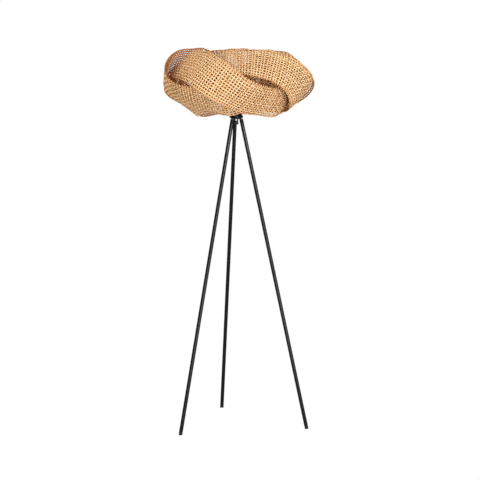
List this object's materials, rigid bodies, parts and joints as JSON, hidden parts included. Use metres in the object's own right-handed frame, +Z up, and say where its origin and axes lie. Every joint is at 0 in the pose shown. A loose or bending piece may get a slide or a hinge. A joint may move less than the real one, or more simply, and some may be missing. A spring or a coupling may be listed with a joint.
{
  "type": "floor lamp",
  "caption": "Floor lamp: a low round shade of wide interlaced bamboo bands, open above and below, on a slim black tripod of straight tube legs.",
  "frame": {"origin": "middle of the lamp's footprint, on the floor", "axes": "+Z up; -Y towards the side that the picture shows; +X to that view's right"},
  "size_m": [0.6004, 0.6154, 1.5165],
  "materials": {
    "black_metal": "satin black powder coat",
    "steel": "zinc plated",
    "brass": "bright",
    "black_plastic": "moulded, fine matt",
    "rubber": "moulded, matt",
    "ceramic": "white, glazed",
    "opal_glass": "opal",
    "bamboo": "split bamboo slats in an open plain weave",
    "cane": "bound cane"
  },
  "bodies": {
    "stand": {"foot_left": "rubber", "foot_right": "rubber", "foot_back": "rubber", "leg_lower_left": "black_metal", "leg_lower_right": "black_metal", "leg_lower_back": "black_metal", "leg_upper_left": "black_metal", "leg_upper_right": "black_metal", "leg_upper_back": "black_metal", "leg_joiner_left": "steel", "leg_joiner_right": "steel", "leg_joiner_back": "steel", "leg_stud_left": "steel", "leg_stud_right": "steel", "leg_stud_back": "steel", "hub_disc": "black_metal", "hub_cover": "black_metal", "threaded_tube": "steel", "hub_nut": "steel", "lead_gland": "black_plastic", "lampholder_cup": "black_plastic", "lampholder_nut": "steel", "lampholder_sleeve": "black_plastic", "socket_insulator": "ceramic", "screw_shell": "brass", "centre_contact": "brass"},
    "shade": {"shade_frame": "black_metal", "woven_band_a": "bamboo", "woven_band_b": "bamboo", "woven_band_c": "bamboo", "hoop_tie_a1": "cane", "hoop_tie_a2": "cane", "hoop_tie_b1": "cane", "hoop_tie_b2": "cane", "hoop_tie_c1": "cane", "hoop_tie_c2": "cane", "band_tie_a1": "cane", "band_tie_a2": "cane", "band_tie_b1": "cane", "band_tie_b2": "cane", "band_tie_c1": "cane", "band_tie_c2": "cane"},
    "ring_nut": {"shade_ring_nut": "black_plastic"},
    "bulb": {"bulb_contact": "brass", "bulb_insulator": "black_plastic", "bulb_cap": "brass", "bulb_collar": "ceramic", "bulb_globe": "opal_glass"}
  },
  "joints": [
    {"name": "shade_turn", "type": "hinge", "parent": "stand", "child": "shade", "pos_m": [-0.00869, 0.00043, 1.2943], "axis": [0, 0, 1], "continuous": true},
    {"name": "ring_nut_turn", "type": "hinge", "parent": "stand", "child": "ring_nut", "pos_m": [-0.00869, 0.00043, 1.2981], "axis": [0, 0, 1], "range_deg": [0, 180]},
    {"name": "bulb_lift", "type": "slide", "parent": "stand", "child": "bulb", "axis": [0, 0, 1], "range_m": [0, 0.1]}
  ]
}
